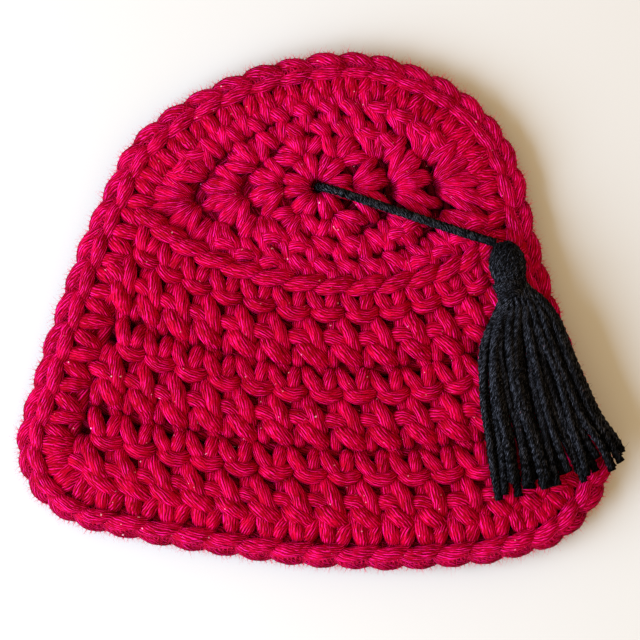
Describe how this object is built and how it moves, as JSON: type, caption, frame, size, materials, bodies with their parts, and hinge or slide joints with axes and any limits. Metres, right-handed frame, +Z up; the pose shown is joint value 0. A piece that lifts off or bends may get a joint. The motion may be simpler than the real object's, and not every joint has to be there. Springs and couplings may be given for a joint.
{
  "type": "flat crocheted fez with tassel (coaster)",
  "caption": "Flat single-layer crocheted fez shape: an oval crown, rows below a raised ridge, an edging round, and a cord with a tassel.",
  "frame": {"origin": "on the table under the middle of the crocheted piece", "axes": "+X to the right across the fez, +Y towards the top of the crown, +Z up off the table"},
  "size_m": [0.1269, 0.1096, 0.0127],
  "materials": {
    "red_cotton": "soft plied cotton yarn, matt with a faint bloom",
    "black_cotton": "tightly twisted black cotton cord, matt"
  },
  "bodies": {
    "root": {"crown": "red_cotton", "ridge": "red_cotton", "row_1": "red_cotton", "row_2": "red_cotton", "row_3": "red_cotton", "row_4": "red_cotton", "row_5": "red_cotton", "row_6": "red_cotton", "edging": "red_cotton", "tassel": "black_cotton", "tassel_cord": "black_cotton"}
  },
  "joints": []
}
